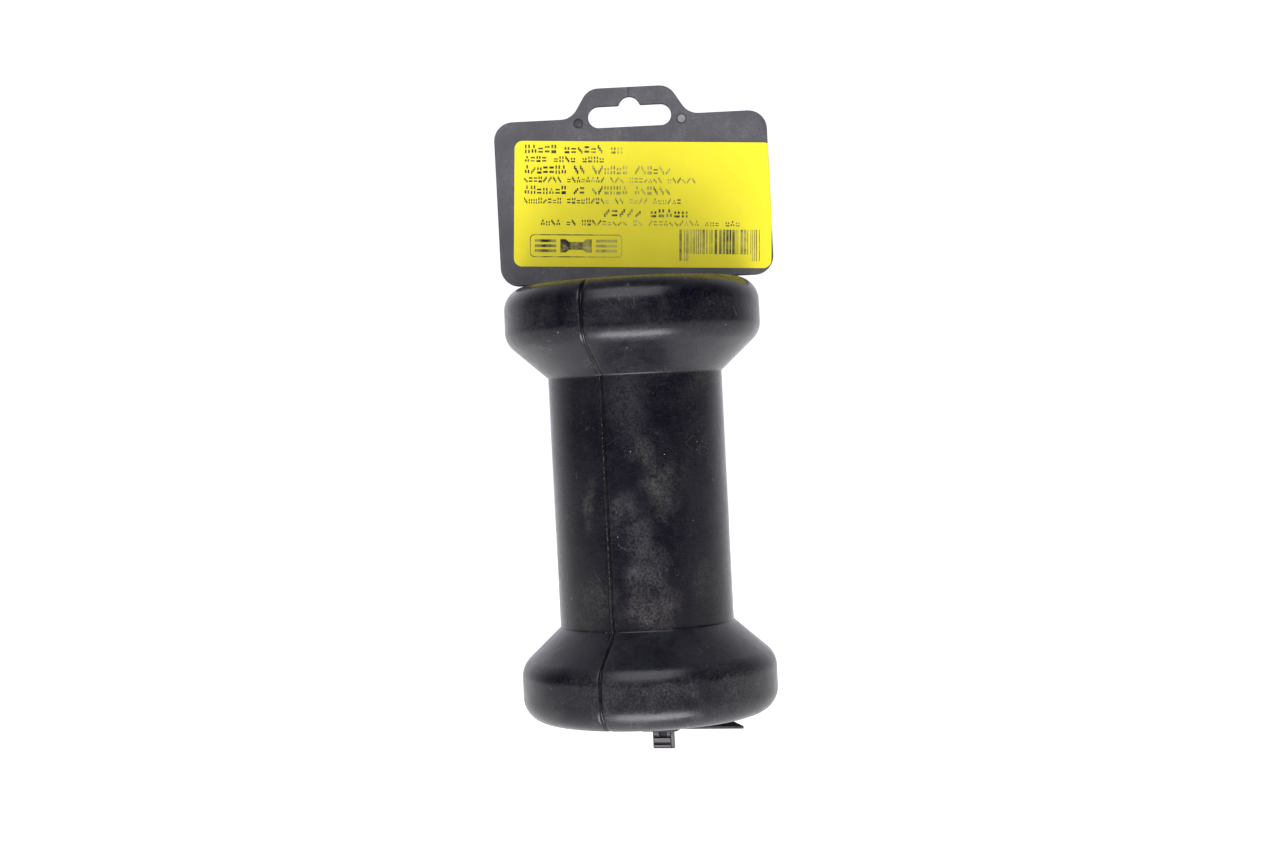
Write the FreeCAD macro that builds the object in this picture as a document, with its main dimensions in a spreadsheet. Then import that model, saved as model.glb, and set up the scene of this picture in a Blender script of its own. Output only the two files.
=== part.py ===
import FreeCAD, Part
import os
import Sketcher

# Rubber spool roller held on a one-piece plastic hanger: a hang card with a euro slot,
# a toothed strap that runs down through the roller's bore, and a crossbar retainer that
# ratchets up the strap under the roller.  Millimetres; +Z up along the roller's axis,
# +X to the right across the card, -Y out of the card's printed face.  The origin is the
# top of the hang slot's centre notch, at mid thickness, where a display peg carries it.

DIMENSIONS = [
    # rubber roller, turned about its own axis
    ("roller_length", 127.0, "5 in over the two end faces"),
    ("bore_radius", 7.9375, "5/8 in shaft bore"),
    ("bore_chamfer", 0.6, ""),
    ("flange_radius", 37.4, "widest part of each end"),
    ("barrel_radius", 25.5, "2 in waist"),
    ("barrel_half_length", 36.35, "centre to the sharp foot of the cone"),
    ("cone_half_length", 47.25, "centre to where cone and rim would meet"),
    ("rim_fillet", 7.1, "end face to rim, and rim to cone"),
    ("roller_axis_x", -2.3, "roller hangs a little left of the card's middle"),
    ("roller_centre_z", -117.6, ""),
    # hang card
    ("card_half_width", 39.95, ""),
    ("card_thickness", 2.0, ""),
    ("shoulder_z", -5.75, "top of the card's wide body"),
    ("card_bottom_z", -53.8, "clears the roller's end face by 0.3"),
    ("card_corner_radius", 5.5, ""),
    ("tab_top_z", 2.85, ""),
    ("tab_top_half_width", 11.77, "before its corners are rounded"),
    ("tab_foot_half_width", 17.15, "before its feet are rounded"),
    ("tab_corner_radius", 5.2, ""),
    ("edge_rounding", 0.35, "moulded edges of the card"),
    # hang slot in the tab
    ("slot_half_length", 12.15, ""),
    ("slot_top_z", -2.5, ""),
    ("slot_bottom_z", -8.75, ""),
    ("slot_end_radius", 3.1, ""),
    ("notch_radius", 3.1, "peg notch, its top at the origin"),
    ("notch_flare_radius", 0.75, ""),
    # ejector-pin marks beside the slot
    ("ejector_x", 15.1, ""),
    ("ejector_z", -7.15, ""),
    ("ejector_radius", 1.3, ""),
    ("sunk_mark_depth", 0.45, "left-hand mark"),
    ("raised_mark_height", 0.25, "right-hand mark"),
    # toothed strap
    ("strap_width", 6.15, ""),
    ("strap_thickness", 2.0, ""),
    ("strap_x", 0.8, "middle of the strap below its turn"),
    ("strap_turn", 16.0, "degrees, right-hand edge forward"),
    ("strap_root_z", -50.0, "strap starts inside the card"),
    ("strap_turn_top_z", -58.0, ""),
    ("strap_turn_bottom_z", -82.0, ""),
    ("strap_end_z", -191.2, ""),
    ("strap_end_chamfer", 0.6, ""),
    ("tooth_pitch", 2.0, ""),
    ("tooth_count", 52, ""),
    ("tooth_depth", 0.5, ""),
    ("tooth_first_z", 1.1, "lowest shoulder above the strap's end"),
    ("tooth_flat", 0.4, "height of a groove's floor"),
    ("tooth_gap", 1.3, "height of a groove's mouth"),
    ("teeth_left", -2.85, "teeth run between two plain rails"),
    ("teeth_right", 2.35, ""),
    ("channel_left", 2.2, "channel beside the right-hand rail"),
    ("channel_right", 2.5, ""),
    ("channel_depth", 0.6, ""),
    ("stop_mark_z", 4.6, ""),
    ("stop_mark_radius", 1.3, ""),
    ("stop_mark_depth", 0.7, ""),
    # printed label
    ("label_width", 75.3, ""),
    ("label_height", 36.7, ""),
    ("label_thickness", 0.1, ""),
    ("label_corner_radius", 2.4, ""),
    ("label_x", 2.6, ""),
    ("label_z", -31.7, ""),
    ("label_tilt", 3.3, "degrees, stuck on a little clockwise"),
    ("fold_start_x", 39.3, "right-hand margin folded over the card's edge"),
    ("fold_top_z", -15.8, ""),
    ("fold_widest_z", -17.9, ""),
    ("fold_widest_y", 0.25, ""),
    ("fold_bottom_z", -40.5, "where the slanted margin leaves the card's edge"),
    # crossbar retainer
    ("retainer_z", -184.0, "top of the crossbar, 2.9 below the roller"),
    ("crossbar_half_length", 25.7, "along its long front edge"),
    ("crossbar_back_half_length", 19.35, "its ends are cut at 60 degrees"),
    ("crossbar_half_depth", 5.5, ""),
    ("crossbar_thickness", 0.7, ""),
    ("crossbar_corner_radius", 0.4, ""),
    ("boss_half_width", 5.4, "collar around the strap"),
    ("boss_half_depth", 5.2, ""),
    ("boss_depth", 0.8, "below the crossbar"),
    ("boss_corner_radius", 1.0, ""),
    ("strap_slot_clearance", 0.3, "on every side of the strap"),
    ("window_half_width", 2.5, "window that the pawl flexes in"),
    ("window_front_y", -4.4, ""),
    # pawl, a springy tongue of the retainer
    ("pawl_half_width", 2.2, ""),
    ("pawl_root_y", -4.15, ""),
    ("pawl_tip_y", -1.1, "just off the crests of the teeth"),
    ("pawl_root_drop", 0.6, "thickness at the root"),
    ("pawl_tip_top_z", -1.0, ""),
    ("pawl_tip_bottom_z", -1.4, ""),
    ("pawl_belly_y", -3.2, ""),
    ("pawl_belly_z", -1.1, ""),
]

SUBPARTS = ["rubber_roller", "hanger_card", "product_label", "retainer_bar", "retainer_pawl"]
POSITION_TOLERANCE = 0.01

doc = FreeCAD.newDocument("spool_roller_on_hanger")


# ---------------------------------------------------------------- helpers

def make_sheet():
    """Spreadsheet of the driving dimensions: name, value, note."""
    sheet = doc.addObject("Spreadsheet::Sheet", "Dims")
    for row, (alias, number, note) in enumerate(DIMENSIONS, start=1):
        sheet.set("A%d" % row, alias)
        sheet.set("B%d" % row, str(number))
        sheet.set("C%d" % row, note)
        sheet.setAlias("B%d" % row, alias)
    doc.recompute()
    return sheet


def size(alias):
    """Present value of one cell of the sheet."""
    return float(doc.getObject("Dims").get(alias))


def origin_item(body, role):
    """One of a body's own origin planes or axes."""
    return [item for item in body.Origin.OriginFeatures if item.Role == role][0]


def new_body(name):
    """A body whose name and label are the same word."""
    body = doc.addObject("PartDesign::Body", name)
    body.Label = name
    return body


def bind(obj, **expressions):
    """Bind properties to the sheet; a double underscore stands for a dot."""
    for path, expression in expressions.items():
        obj.setExpression(path.replace("__", "."), expression)


def attach_sketch(body, name, plane_role):
    """An empty sketch on one of the body's origin planes."""
    sketch = body.newObject("Sketcher::SketchObject", name)
    sketch.AttachmentSupport = [(origin_item(body, plane_role), "")]
    sketch.MapMode = "FlatFace"
    return sketch


def pin_point(sketch, geometry, end, across, upward):
    """Hold one sketch point at two expressions measured from the sketch's origin."""
    axes = (("DistanceX", across, -2), ("DistanceY", upward, -1))
    for kind, expression, axis in axes:
        if expression == "0":
            sketch.addConstraint(Sketcher.Constraint("PointOnObject", geometry, end, axis))
            continue
        number = float(sketch.evalExpression(expression))
        index = sketch.addConstraint(Sketcher.Constraint(kind, -1, 1, geometry, end, number))
        sketch.setExpression("Constraints[%d]" % index, expression)


def draw_polygon(sketch, corners):
    """Closed polygon; each corner is a pair of expressions."""
    spots = []
    for across, upward in corners:
        x = float(sketch.evalExpression(across))
        y = float(sketch.evalExpression(upward))
        spots.append(FreeCAD.Vector(x, y, 0))
    count = len(spots)
    for i in range(count):
        sketch.addGeometry(Part.LineSegment(spots[i], spots[(i + 1) % count]))
    for i in range(count):
        sketch.addConstraint(Sketcher.Constraint("Coincident", i, 2, (i + 1) % count, 1))
    for i in range(count):
        pin_point(sketch, i, 1, corners[i][0], corners[i][1])
    return sketch


def draw_rectangle(sketch, left, right, bottom, top):
    """Rectangle between four expressions."""
    return draw_polygon(sketch, [(left, bottom), (right, bottom), (right, top), (left, top)])


def draw_circle(sketch, across, upward, radius):
    """Circle at two expressions, its radius bound to a third."""
    x = float(sketch.evalExpression(across))
    y = float(sketch.evalExpression(upward))
    r = float(sketch.evalExpression(radius))
    ring = sketch.addGeometry(Part.Circle(FreeCAD.Vector(x, y, 0), FreeCAD.Vector(0, 0, 1), r))
    pin_point(sketch, ring, 3, across, upward)
    index = sketch.addConstraint(Sketcher.Constraint("Radius", ring, r))
    sketch.setExpression("Constraints[%d]" % index, radius)
    return sketch


def pad(body, name, sketch, length, symmetric=False, reverse=False):
    """Add the sketch's outline as a slab."""
    feature = body.newObject("PartDesign::Pad", name)
    feature.Profile = sketch
    feature.setExpression("Length", length)
    feature.Midplane = symmetric
    feature.Reversed = reverse
    doc.recompute()
    return feature


def pocket(body, name, sketch, length, symmetric=False, reverse=False):
    """Cut the sketch's outline out, and make sure that it removed something."""
    before = body.Shape.Volume
    feature = body.newObject("PartDesign::Pocket", name)
    feature.Profile = sketch
    feature.setExpression("Length", length)
    feature.Midplane = symmetric
    feature.Reversed = reverse
    doc.recompute()
    if body.Shape.Volume >= before - 1e-6:
        raise RuntimeError(name + " removed nothing")
    return feature


def edges_where(feature, test):
    """Names of the feature's edges that pass a test."""
    edges = feature.Shape.Edges
    return ["Edge%d" % (i + 1) for i, edge in enumerate(edges) if test(edge)]


def runs_through(edge, direction, spots):
    """True for a straight edge along a direction that passes one of the given points."""
    if edge.Curve.TypeId != "Part::GeomLine":
        return False
    if edge.Curve.Direction.cross(direction).Length > 1e-6:
        return False
    for spot in spots:
        if (spot - edge.CenterOfMass).cross(direction).Length < POSITION_TOLERANCE:
            return True
    return False


def round_edges(body, name, base, edges, radius):
    """Fillet the named edges of the latest feature."""
    fillet = body.newObject("PartDesign::Fillet", name)
    fillet.Base = (base, edges)
    fillet.setExpression("Radius", radius)
    doc.recompute()
    return fillet


def y_edges_at(feature, spots):
    """Edges along Y at the given (x, z) corners of a plate that lies in XZ."""
    points = [FreeCAD.Vector(x, 0, z) for x, z in spots]
    y_axis = FreeCAD.Vector(0, 1, 0)
    return edges_where(feature, lambda edge: runs_through(edge, y_axis, points))


def z_edges_at(feature, spots):
    """Edges along Z at the given (x, y) corners of a plate that lies in XY."""
    points = [FreeCAD.Vector(x, y, 0) for x, y in spots]
    z_axis = FreeCAD.Vector(0, 0, 1)
    return edges_where(feature, lambda edge: runs_through(edge, z_axis, points))


# ---------------------------------------------------------------- rubber roller

def make_roller():
    """Solid rubber spool roller: two wide ends, 45-degree cones, a straight waist, a bore."""
    body = new_body("rubber_roller")
    section = attach_sketch(body, "roller_section", "XZ_Plane")
    half = "Dims.roller_length / 2"
    draw_polygon(section, [
        ("Dims.bore_radius", "-" + half),
        ("Dims.flange_radius", "-" + half),
        ("Dims.flange_radius", "-Dims.cone_half_length"),
        ("Dims.barrel_radius", "-Dims.barrel_half_length"),
        ("Dims.barrel_radius", "Dims.barrel_half_length"),
        ("Dims.flange_radius", "Dims.cone_half_length"),
        ("Dims.flange_radius", half),
        ("Dims.bore_radius", half),
    ])
    turned = body.newObject("PartDesign::Revolution", "roller_turned")
    turned.Profile = section
    turned.ReferenceAxis = (section, ["V_Axis"])
    turned.Angle = 360.0
    doc.recompute()

    def on_rim(edge):
        circle = edge.Curve.TypeId == "Part::GeomCircle"
        return circle and abs(edge.Curve.Radius - size("flange_radius")) < POSITION_TOLERANCE

    rounded = round_edges(body, "rim_fillets", turned, edges_where(turned, on_rim), "Dims.rim_fillet")

    def on_bore(edge):
        circle = edge.Curve.TypeId == "Part::GeomCircle"
        return circle and abs(edge.Curve.Radius - size("bore_radius")) < POSITION_TOLERANCE

    chamfer = body.newObject("PartDesign::Chamfer", "bore_chamfers")
    chamfer.Base = (rounded, edges_where(rounded, on_bore))
    chamfer.setExpression("Size", "Dims.bore_chamfer")
    bind(body, Placement__Base__x="Dims.roller_axis_x", Placement__Base__z="Dims.roller_centre_z")
    return body


# ---------------------------------------------------------------- hanger

def make_card_plate():
    """Flat hang card with its tab, slot, peg notch and ejector marks."""
    body = new_body("card_plate")
    outline = attach_sketch(body, "card_outline", "XZ_Plane")
    right_side = [
        ("Dims.card_half_width", "Dims.card_bottom_z"),
        ("Dims.card_half_width", "Dims.shoulder_z"),
        ("Dims.tab_foot_half_width", "Dims.shoulder_z"),
        ("Dims.tab_top_half_width", "Dims.tab_top_z"),
    ]
    left_side = [("-" + across, upward) for across, upward in reversed(right_side)]
    draw_polygon(outline, right_side + left_side)
    plate = pad(body, "card_slab", outline, "Dims.card_thickness", symmetric=True)

    half = size("card_half_width")
    foot = size("tab_foot_half_width")
    top = size("tab_top_half_width")
    bottom_z = size("card_bottom_z")
    shoulder_z = size("shoulder_z")
    body_corners = [(s * half, z) for s in (-1, 1) for z in (bottom_z, shoulder_z)]
    feet = [(s * foot, shoulder_z) for s in (-1, 1)]
    tab_corners = [(s * top, size("tab_top_z")) for s in (-1, 1)]
    plate = round_edges(body, "card_corners", plate, y_edges_at(plate, body_corners + feet),
                        "Dims.card_corner_radius")
    plate = round_edges(body, "tab_corners", plate, y_edges_at(plate, tab_corners),
                        "Dims.tab_corner_radius")

    slot = attach_sketch(body, "slot_outline", "XZ_Plane")
    draw_rectangle(slot, "-Dims.slot_half_length", "Dims.slot_half_length",
                   "Dims.slot_bottom_z", "Dims.slot_top_z")
    plate = pocket(body, "slot_cut", slot, "2 * Dims.card_thickness", symmetric=True)
    slot_ends = [(s * size("slot_half_length"), size(name))
                 for s in (-1, 1) for name in ("slot_bottom_z", "slot_top_z")]
    plate = round_edges(body, "slot_ends", plate, y_edges_at(plate, slot_ends),
                        "Dims.slot_end_radius")

    notch = attach_sketch(body, "notch_outline", "XZ_Plane")
    draw_circle(notch, "0", "-Dims.notch_radius", "Dims.notch_radius")
    plate = pocket(body, "notch_cut", notch, "2 * Dims.card_thickness", symmetric=True)
    below_centre = size("notch_radius") + size("slot_top_z")
    mouth = (size("notch_radius") ** 2 - below_centre ** 2) ** 0.5
    mouth_corners = [(s * mouth, size("slot_top_z")) for s in (-1, 1)]
    plate = round_edges(body, "notch_flares", plate, y_edges_at(plate, mouth_corners),
                        "Dims.notch_flare_radius")

    def on_broad_face(edge):
        box = edge.BoundBox
        return box.YLength < 1e-6 and abs(abs(box.YMin) - size("card_thickness") / 2) < 1e-6

    plate = round_edges(body, "card_edges", plate, edges_where(plate, on_broad_face),
                        "Dims.edge_rounding")

    sunk = attach_sketch(body, "sunk_mark_outline", "XZ_Plane")
    draw_circle(sunk, "-Dims.ejector_x", "Dims.ejector_z", "Dims.ejector_radius")
    bind(sunk, AttachmentOffset__Base__z="Dims.card_thickness / 2")
    pocket(body, "sunk_mark", sunk, "Dims.sunk_mark_depth")
    raised = attach_sketch(body, "raised_mark_outline", "XZ_Plane")
    draw_circle(raised, "Dims.ejector_x", "Dims.ejector_z", "Dims.ejector_radius")
    bind(raised, AttachmentOffset__Base__z="Dims.card_thickness / 2")
    pad(body, "raised_mark", raised, "Dims.raised_mark_height")
    return body


def make_strap_section(name, across, height, turn):
    """Outline of the strap at one height, turned about the vertical."""
    sketch = doc.addObject("Sketcher::SketchObject", name)
    draw_rectangle(sketch, "-Dims.strap_width / 2", "Dims.strap_width / 2",
                   "-Dims.strap_thickness / 2", "Dims.strap_thickness / 2")
    sketch.Placement.Rotation = FreeCAD.Rotation(FreeCAD.Vector(0, 0, -1), turn)
    bind(sketch, Placement__Base__x=across, Placement__Base__z=height)
    return sketch


def make_strap_turn():
    """Plain top of the strap: straight out of the card, then turning inside the bore."""
    sections = [
        make_strap_section("strap_root", "0 mm", "Dims.strap_root_z", 0),
        make_strap_section("strap_above_turn", "0 mm", "Dims.strap_turn_top_z", 0),
        make_strap_section("strap_below_turn", "Dims.strap_x", "Dims.strap_turn_bottom_z",
                           size("strap_turn")),
    ]
    turn = doc.addObject("Part::Loft", "strap_twist")
    turn.Sections = sections
    turn.Solid = True
    turn.Ruled = True
    return turn


def make_toothed_strap():
    """Lower strap with ratchet teeth between two rails, drawn upwards from its free end."""
    body = new_body("toothed_strap")
    section = attach_sketch(body, "strap_section", "XY_Plane")
    draw_rectangle(section, "-Dims.strap_width / 2", "Dims.strap_width / 2",
                   "-Dims.strap_thickness / 2", "Dims.strap_thickness / 2")
    bar = pad(body, "strap_bar", section, "Dims.strap_turn_bottom_z - Dims.strap_end_z")

    def on_front_end(edge):
        centre = edge.CenterOfMass
        at_end = abs(centre.z) < POSITION_TOLERANCE
        return at_end and abs(centre.y + size("strap_thickness") / 2) < POSITION_TOLERANCE

    chamfer = body.newObject("PartDesign::Chamfer", "strap_end")
    chamfer.Base = (bar, edges_where(bar, on_front_end))
    chamfer.setExpression("Size", "Dims.strap_end_chamfer")
    doc.recompute()

    tooth = attach_sketch(body, "tooth_outline", "YZ_Plane")
    face = "-Dims.strap_thickness / 2"
    floor = "Dims.tooth_depth - Dims.strap_thickness / 2"
    draw_polygon(tooth, [
        (face, "Dims.tooth_first_z"),
        (floor, "Dims.tooth_first_z"),
        (floor, "Dims.tooth_first_z + Dims.tooth_flat"),
        (face, "Dims.tooth_first_z + Dims.tooth_gap"),
    ])
    bind(tooth, AttachmentOffset__Base__z="(Dims.teeth_left + Dims.teeth_right) / 2")
    groove = pocket(body, "tooth_groove", tooth, "Dims.teeth_right - Dims.teeth_left",
                    symmetric=True)
    row = body.newObject("PartDesign::LinearPattern", "tooth_row")
    row.Originals = [groove]
    row.Direction = (origin_item(body, "Z_Axis"), [""])
    bind(row, Length="Dims.tooth_pitch * (Dims.tooth_count - 1)", Occurrences="Dims.tooth_count")
    body.Tip = row
    doc.recompute()

    channel = attach_sketch(body, "channel_outline", "XY_Plane")
    draw_rectangle(channel, "Dims.channel_left", "Dims.channel_right", face,
                   "Dims.channel_depth - Dims.strap_thickness / 2")
    pocket(body, "rail_channel", channel, "Dims.tooth_pitch * Dims.tooth_count", reverse=True)

    mark = attach_sketch(body, "stop_mark_outline", "XZ_Plane")
    draw_circle(mark, "0", "Dims.stop_mark_z", "Dims.stop_mark_radius")
    bind(mark, AttachmentOffset__Base__z="Dims.strap_thickness / 2")
    pocket(body, "stop_mark", mark, "Dims.stop_mark_depth")

    body.Placement.Rotation = FreeCAD.Rotation(FreeCAD.Vector(0, 0, -1), size("strap_turn"))
    bind(body, Placement__Base__x="Dims.strap_x", Placement__Base__z="Dims.strap_end_z")
    return body


def make_hanger():
    """Card and strap are one moulding."""
    hanger = doc.addObject("Part::MultiFuse", "hanger_card")
    hanger.Label = "hanger_card"
    hanger.Shapes = [make_card_plate(), make_strap_turn(), make_toothed_strap()]
    hanger.Refine = True
    return hanger


# ---------------------------------------------------------------- label

def make_label_fold():
    """Right-hand margin of the label, folded round the card's edge onto its side."""
    bent = new_body("label_bend")
    section = attach_sketch(bent, "bend_section", "XY_Plane")
    side_x = "Dims.card_half_width"
    outer_x = "Dims.card_half_width + Dims.label_thickness"
    front_y = "-Dims.card_thickness / 2"
    outer_y = "-Dims.card_thickness / 2 - Dims.label_thickness"
    draw_polygon(section, [
        ("Dims.fold_start_x", outer_y),
        (outer_x, outer_y),
        (outer_x, "Dims.fold_widest_y"),
        (side_x, "Dims.fold_widest_y"),
        (side_x, front_y),
        ("Dims.fold_start_x", front_y),
    ])
    strip = pad(bent, "bend_strip", section, "Dims.fold_top_z - Dims.fold_bottom_z")
    half = size("card_half_width")
    front = -size("card_thickness") / 2
    skin = size("label_thickness")
    strip = round_edges(bent, "bend_outside", strip, z_edges_at(strip, [(half + skin, front - skin)]),
                        "Dims.edge_rounding + Dims.label_thickness")
    round_edges(bent, "bend_inside", strip, z_edges_at(strip, [(half, front)]),
                "Dims.edge_rounding")
    bind(bent, Placement__Base__z="Dims.fold_bottom_z")

    slant = new_body("fold_slant")
    outline = attach_sketch(slant, "slant_outline", "YZ_Plane")
    draw_polygon(outline, [
        ("-Dims.card_thickness", "Dims.fold_bottom_z"),
        (outer_y, "Dims.fold_bottom_z"),
        ("Dims.fold_widest_y", "Dims.fold_widest_z"),
        ("-Dims.card_thickness / 4", "Dims.fold_top_z"),
        ("-Dims.card_thickness", "Dims.fold_top_z"),
    ])
    pad(slant, "slant_block", outline, "Dims.card_half_width + Dims.card_thickness")

    fold = doc.addObject("Part::Common", "label_fold")
    fold.Base = bent
    fold.Tool = slant
    return fold


def make_label():
    """Adhesive label on the card's front, its right-hand margin folded over the card's edge."""
    sheet_body = new_body("label_sheet")
    outline = attach_sketch(sheet_body, "label_outline", "XZ_Plane")
    draw_rectangle(outline, "-Dims.label_width / 2", "Dims.label_width / 2",
                   "-Dims.label_height / 2", "Dims.label_height / 2")
    slab = pad(sheet_body, "label_slab", outline, "Dims.label_thickness")
    corners = [(i * size("label_width") / 2, k * size("label_height") / 2)
               for i in (-1, 1) for k in (-1, 1)]
    round_edges(sheet_body, "label_corners", slab, y_edges_at(slab, corners),
                "Dims.label_corner_radius")
    sheet_body.Placement.Rotation = FreeCAD.Rotation(FreeCAD.Vector(0, 1, 0), size("label_tilt"))
    bind(sheet_body, Placement__Base__x="Dims.label_x",
         Placement__Base__y="-Dims.card_thickness / 2", Placement__Base__z="Dims.label_z")

    trim = doc.addObject("Part::Box", "label_trim")
    bind(trim, Length="2 * (Dims.card_half_width - Dims.edge_rounding)",
         Width="Dims.label_thickness", Height="Dims.shoulder_z - Dims.card_bottom_z",
         Placement__Base__x="Dims.edge_rounding - Dims.card_half_width",
         Placement__Base__y="-Dims.card_thickness / 2 - Dims.label_thickness",
         Placement__Base__z="Dims.card_bottom_z")
    front = doc.addObject("Part::Common", "label_front")
    front.Base = sheet_body
    front.Tool = trim
    label = doc.addObject("Part::MultiFuse", "product_label")
    label.Label = "product_label"
    label.Shapes = [front, make_label_fold()]
    label.Refine = True
    return label


# ---------------------------------------------------------------- retainer

def place_on_strap(body):
    """Stand a piece of the retainer on the strap, turned with it."""
    body.Placement.Rotation = FreeCAD.Rotation(FreeCAD.Vector(0, 0, -1), size("strap_turn"))
    bind(body, Placement__Base__x="Dims.strap_x", Placement__Base__z="Dims.retainer_z")


def make_retainer():
    """Thin crossbar with slanted ends and a collar that slides on the strap."""
    body = new_body("retainer_bar")
    outline = attach_sketch(body, "crossbar_outline", "XY_Plane")
    draw_polygon(outline, [
        ("-Dims.crossbar_half_length", "-Dims.crossbar_half_depth"),
        ("Dims.crossbar_half_length", "-Dims.crossbar_half_depth"),
        ("Dims.crossbar_back_half_length", "Dims.crossbar_half_depth"),
        ("-Dims.crossbar_back_half_length", "Dims.crossbar_half_depth"),
    ])
    bar = pad(body, "crossbar", outline, "Dims.crossbar_thickness", reverse=True)
    depth = size("crossbar_half_depth")
    corners = [(s * size("crossbar_half_length"), -depth) for s in (-1, 1)]
    corners += [(s * size("crossbar_back_half_length"), depth) for s in (-1, 1)]
    round_edges(body, "crossbar_corners", bar, z_edges_at(bar, corners),
                "Dims.crossbar_corner_radius")

    collar = attach_sketch(body, "collar_outline", "XY_Plane")
    draw_rectangle(collar, "-Dims.boss_half_width", "Dims.boss_half_width",
                   "-Dims.boss_half_depth", "Dims.boss_half_depth")
    boss = pad(body, "collar", collar, "Dims.crossbar_thickness + Dims.boss_depth", reverse=True)
    boss_corners = [(i * size("boss_half_width"), k * size("boss_half_depth"))
                    for i in (-1, 1) for k in (-1, 1)]
    round_edges(body, "collar_corners", boss, z_edges_at(boss, boss_corners),
                "Dims.boss_corner_radius")

    strap_slot = attach_sketch(body, "strap_slot_outline", "XY_Plane")
    half_x = "Dims.strap_width / 2 + Dims.strap_slot_clearance"
    half_y = "Dims.strap_thickness / 2 + Dims.strap_slot_clearance"
    draw_rectangle(strap_slot, "-(" + half_x + ")", half_x, "-(" + half_y + ")", half_y)
    # a symmetric cut spreads half its length each way, and the collar is all on one side
    through = "3 * (Dims.crossbar_thickness + Dims.boss_depth)"
    pocket(body, "strap_slot", strap_slot, through, symmetric=True)

    window = attach_sketch(body, "pawl_window_outline", "XY_Plane")
    draw_rectangle(window, "-Dims.window_half_width", "Dims.window_half_width",
                   "Dims.window_front_y", "-Dims.strap_thickness / 2")
    pocket(body, "pawl_window", window, through, symmetric=True)
    place_on_strap(body)
    return body


def make_pawl():
    """Springy tongue that slopes down from the crossbar's window to the teeth."""
    body = new_body("retainer_pawl")
    profile = attach_sketch(body, "pawl_profile", "YZ_Plane")
    draw_polygon(profile, [
        ("Dims.pawl_root_y", "0"),
        ("Dims.pawl_root_y", "-Dims.pawl_root_drop"),
        ("Dims.pawl_belly_y", "Dims.pawl_belly_z"),
        ("Dims.pawl_tip_y", "Dims.pawl_tip_bottom_z"),
        ("Dims.pawl_tip_y", "Dims.pawl_tip_top_z"),
    ])
    pad(body, "pawl_tongue", profile, "2 * Dims.pawl_half_width", symmetric=True)
    place_on_strap(body)
    return body


# ---------------------------------------------------------------- build, check, write

def check_document():
    """Stop if any object failed or any sub-part has no sound shape."""
    for obj in doc.Objects:
        for word in ("Invalid", "Error"):
            if word in obj.State:
                raise RuntimeError("%s is in state %s" % (obj.Name, obj.State))
    for name in SUBPARTS:
        shape = doc.getObject(name).Shape
        if shape.isNull() or not shape.isValid() or not shape.Solids:
            raise RuntimeError("%s has no valid solid" % name)


def write_steps():
    """Write each sub-part to its own STEP file, named by its label."""
    os.makedirs("parts", exist_ok=True)
    for name in SUBPARTS:
        obj = doc.getObject(name)
        obj.Shape.exportStep("parts/%s.step" % obj.Label)
        box = obj.Shape.BoundBox
        print("%-14s %10.1f mm3  x %.2f..%.2f  y %.2f..%.2f  z %.2f..%.2f" % (
            obj.Label, obj.Shape.Volume, box.XMin, box.XMax, box.YMin, box.YMax,
            box.ZMin, box.ZMax))


make_sheet()
make_roller()
make_hanger()
make_label()
make_retainer()
make_pawl()
doc.recompute()
check_document()
write_steps()
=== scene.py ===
"""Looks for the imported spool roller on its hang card: meshes, materials, lights and camera.

Lengths named *_MM are millimetres in the row frame; the scene itself is in metres.
"""

import math
import random

import bpy
from mathutils import Matrix, Vector, noise


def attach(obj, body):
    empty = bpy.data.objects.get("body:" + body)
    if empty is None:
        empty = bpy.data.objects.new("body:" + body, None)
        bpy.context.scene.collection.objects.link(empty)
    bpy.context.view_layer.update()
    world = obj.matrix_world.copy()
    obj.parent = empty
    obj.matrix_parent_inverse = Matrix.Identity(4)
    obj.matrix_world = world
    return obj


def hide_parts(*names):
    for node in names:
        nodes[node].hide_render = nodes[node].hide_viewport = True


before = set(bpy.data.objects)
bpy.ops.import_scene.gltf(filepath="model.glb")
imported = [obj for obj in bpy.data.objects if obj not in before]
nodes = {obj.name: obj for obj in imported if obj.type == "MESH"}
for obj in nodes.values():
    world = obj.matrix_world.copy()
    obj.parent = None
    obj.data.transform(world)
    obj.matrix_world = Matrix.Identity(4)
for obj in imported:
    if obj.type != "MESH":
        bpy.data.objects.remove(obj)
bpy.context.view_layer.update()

MM = 0.001

# roller, the same section as the CAD solid
AXIS_X_MM = -2.3
CENTRE_Z_MM = -117.6
HALF_LENGTH_MM = 63.5
BORE_RADIUS_MM = 7.9375
BORE_CHAMFER_MM = 0.6
FLANGE_RADIUS_MM = 37.4
BARREL_RADIUS_MM = 25.5
BARREL_HALF_MM = 36.35
CONE_HALF_MM = 47.25
RIM_FILLET_MM = 7.1
FOOT_FILLET_MM = 0.7

# waviness of the moulded rubber: its depth, how far the body is set in for it, how wide a
# ring round the bore has none, and how fast its slow waves and its weaker ripples change
WAVE_DEPTH_MM = 0.07
WAVE_INSET_MM = 0.10
STILL_RING_MM = 14.0
WAVES_PER_MM = 0.055
RIPPLES_PER_MM = 0.21
RIPPLE_SHARE = 0.35

# mould parting lines: where the front one is, the half width that gets a fine mesh, and how
# far the two grooves and the flash between them lie from the line's middle
SEAM_AZIMUTH = math.radians(-22.9)
SEAM_HALF_WIDTH = math.radians(4.0)
GROOVE_OFFSET_MM = 0.32
SECOND_GROOVE_OFFSET_MM = -0.70
FLASH_OFFSET_MM = -0.16

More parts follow.
